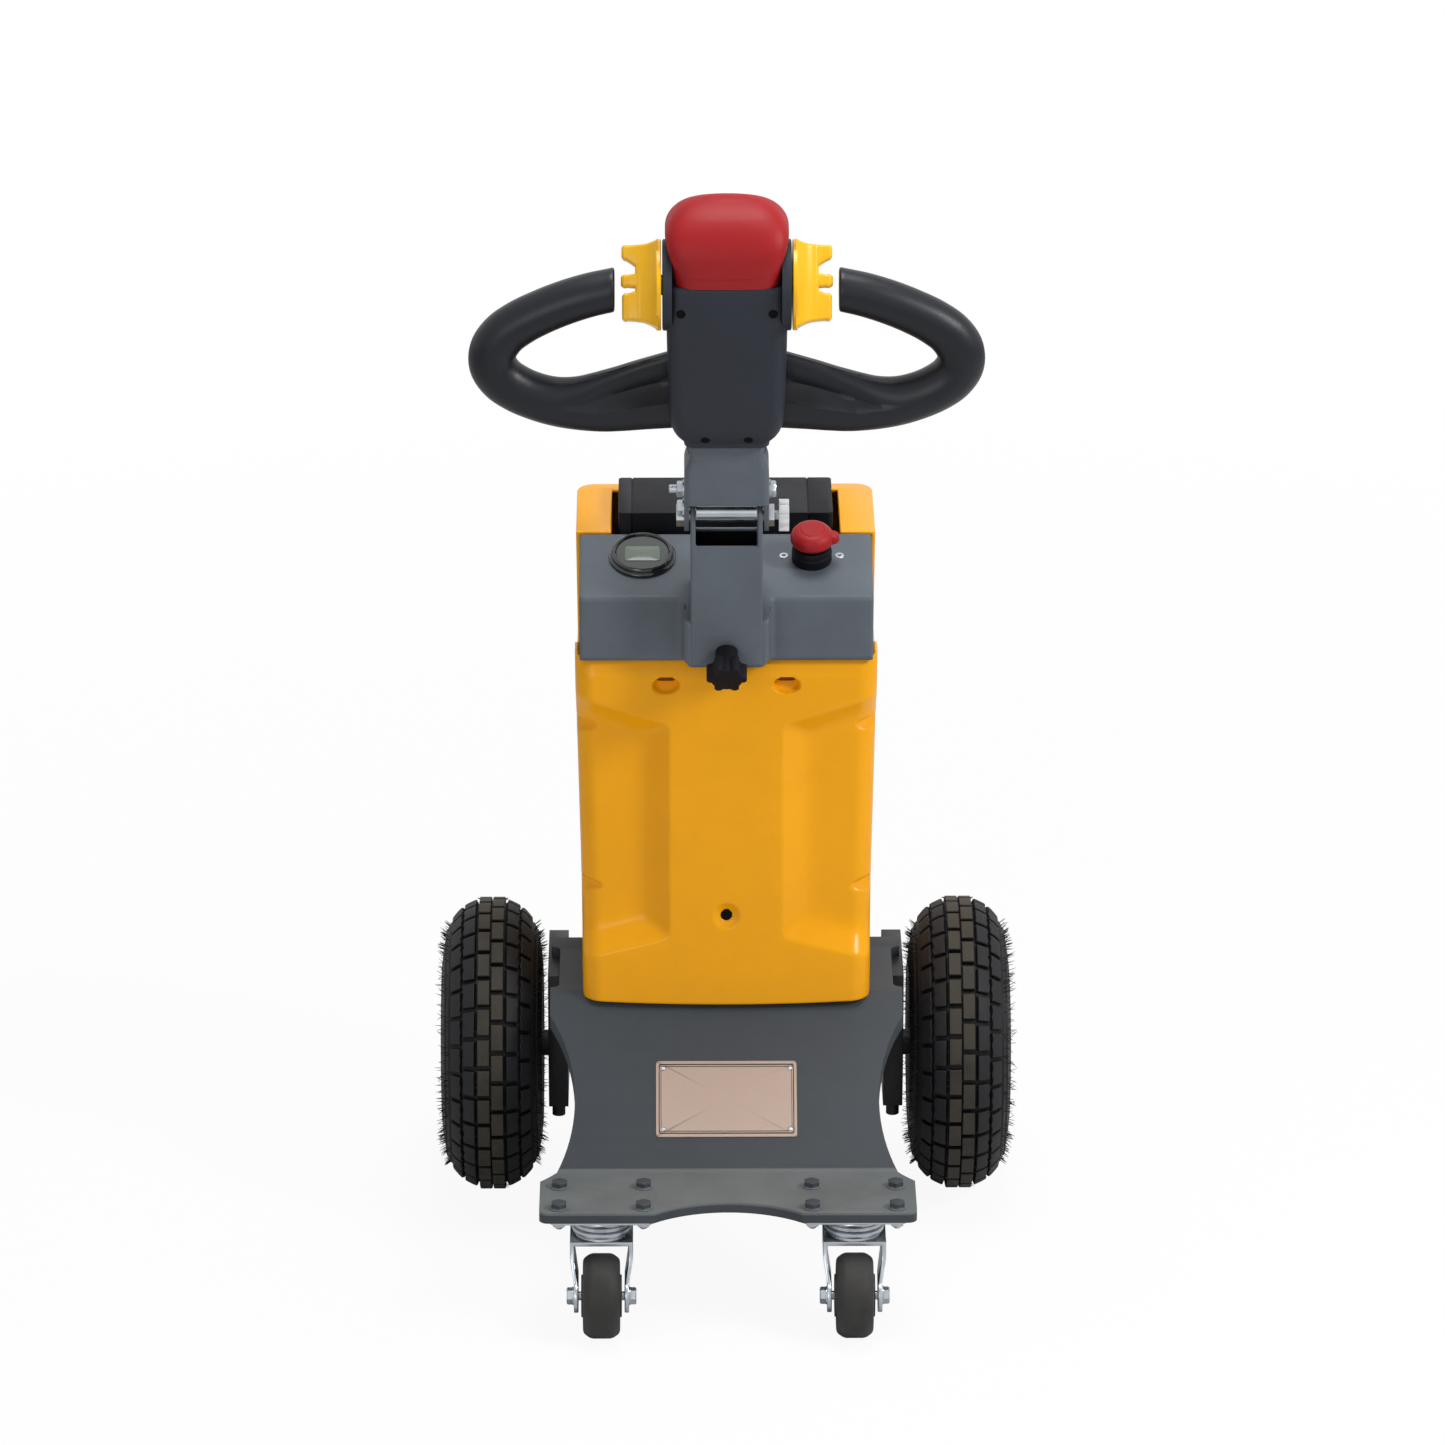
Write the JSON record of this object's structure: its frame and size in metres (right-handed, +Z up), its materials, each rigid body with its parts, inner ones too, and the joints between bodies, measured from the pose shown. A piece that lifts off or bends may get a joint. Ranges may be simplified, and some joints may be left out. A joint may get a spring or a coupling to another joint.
{
  "type": "walk-behind electric baggage tug",
  "caption": "Pedestrian electric tug with two pneumatic drive wheels, swivel casters, moulded battery housing, tilting tiller head with looped grips and a pin tow jaw",
  "frame": {"origin": "on the floor under the middle of the outline, seen from above", "axes": "+X to the operator's right, +Y ahead of the operator towards the tow jaw, +Z up"},
  "size_m": [0.523, 0.596, 0.9985],
  "materials": {
    "deck_paint": "dark grey textured paint on steel plate",
    "console_paint": "mid grey satin paint",
    "housing_plastic": "glossy moulded yellow-orange plastic",
    "thumb_plastic": "glossy moulded yellow plastic",
    "head_plastic": "fine grained dark blue-grey plastic",
    "grip_rubber": "dull dark grip covering",
    "battery_plastic": "black satin plastic",
    "black_steel": "black painted steel",
    "red_plastic": "glossy red plastic",
    "gauge_black": "glossy black bezel over a display",
    "knob_clear": "pale translucent plastic",
    "zinc": "bright zinc plate",
    "rim_paint": "grey painted pressed steel",
    "cast_case": "dark painted casting",
    "drive_tyre": "new black rubber",
    "caster_rubber": "brown-black solid rubber",
    "caster_hub": "dark moulded hub"
  },
  "bodies": {
    "chassis": {"base_plate": "deck_paint", "transaxle": "cast_case", "drive_motor": "black_steel", "axle_clamp_left": "black_steel", "axle_clamp_right": "black_steel", "inner_frame": "black_steel", "front_cover": "housing_plastic", "rear_cover": "housing_plastic", "console": "console_paint", "battery_case": "battery_plastic", "tiller_column": "console_paint", "column_knob": "battery_plastic", "gauge": "gauge_black", "estop_base": "battery_plastic", "estop_knob": "red_plastic", "caster_mount_left": "zinc", "caster_mount_right": "zinc", "hitch_rail": "deck_paint", "tow_jaw": "black_steel"},
    "tow_pin": {"tow_pin": "zinc"},
    "wheel_left": {"tyre_left": "drive_tyre", "rim_left": "rim_paint"},
    "wheel_right": {"tyre_right": "drive_tyre", "rim_right": "rim_paint"},
    "caster_fork_left": {"caster_fork_left": "zinc", "caster_bolt_left": "zinc"},
    "caster_fork_right": {"caster_fork_right": "zinc", "caster_bolt_right": "zinc"},
    "caster_wheel_left": {"caster_tyre_left": "caster_rubber", "caster_hub_left": "caster_hub"},
    "caster_wheel_right": {"caster_tyre_right": "caster_rubber", "caster_hub_right": "caster_hub"},
    "tiller": {"tiller_arm": "console_paint", "hinge_bolt": "zinc", "hinge_knob": "knob_clear", "tiller_head": "head_plastic", "grip_left": "grip_rubber", "grip_right": "grip_rubber", "belly_button": "red_plastic", "butterfly_left": "thumb_plastic", "butterfly_right": "thumb_plastic"}
  },
  "joints": [
    {"name": "tiller_tilt", "type": "hinge", "parent": "chassis", "child": "tiller", "pos_m": [0, -0.032, 0.693], "axis": [1, 0, 0], "range_deg": [-10, 40]},
    {"name": "tow_pin_lift", "type": "slide", "parent": "chassis", "child": "tow_pin", "axis": [0, 0, 1], "range_m": [0, 0.062]},
    {"name": "wheel_spin_left", "type": "hinge", "parent": "chassis", "child": "wheel_left", "pos_m": [-0.215, 0.098, 0.135], "axis": [1, 0, 0], "continuous": true},
    {"name": "caster_swivel_left", "type": "hinge", "parent": "chassis", "child": "caster_fork_left", "pos_m": [-0.1125, -0.228, 0.09], "axis": [0, 0, 1], "continuous": true},
    {"name": "caster_roll_left", "type": "hinge", "parent": "caster_fork_left", "child": "caster_wheel_left", "pos_m": [-0.1125, -0.26, 0.038], "axis": [1, 0, 0], "continuous": true},
    {"name": "wheel_spin_right", "type": "hinge", "parent": "chassis", "child": "wheel_right", "pos_m": [0.215, 0.098, 0.135], "axis": [1, 0, 0], "continuous": true},
    {"name": "caster_swivel_right", "type": "hinge", "parent": "chassis", "child": "caster_fork_right", "pos_m": [0.1125, -0.228, 0.09], "axis": [0, 0, 1], "continuous": true},
    {"name": "caster_roll_right", "type": "hinge", "parent": "caster_fork_right", "child": "caster_wheel_right", "pos_m": [0.1125, -0.26, 0.038], "axis": [1, 0, 0], "continuous": true}
  ]
}
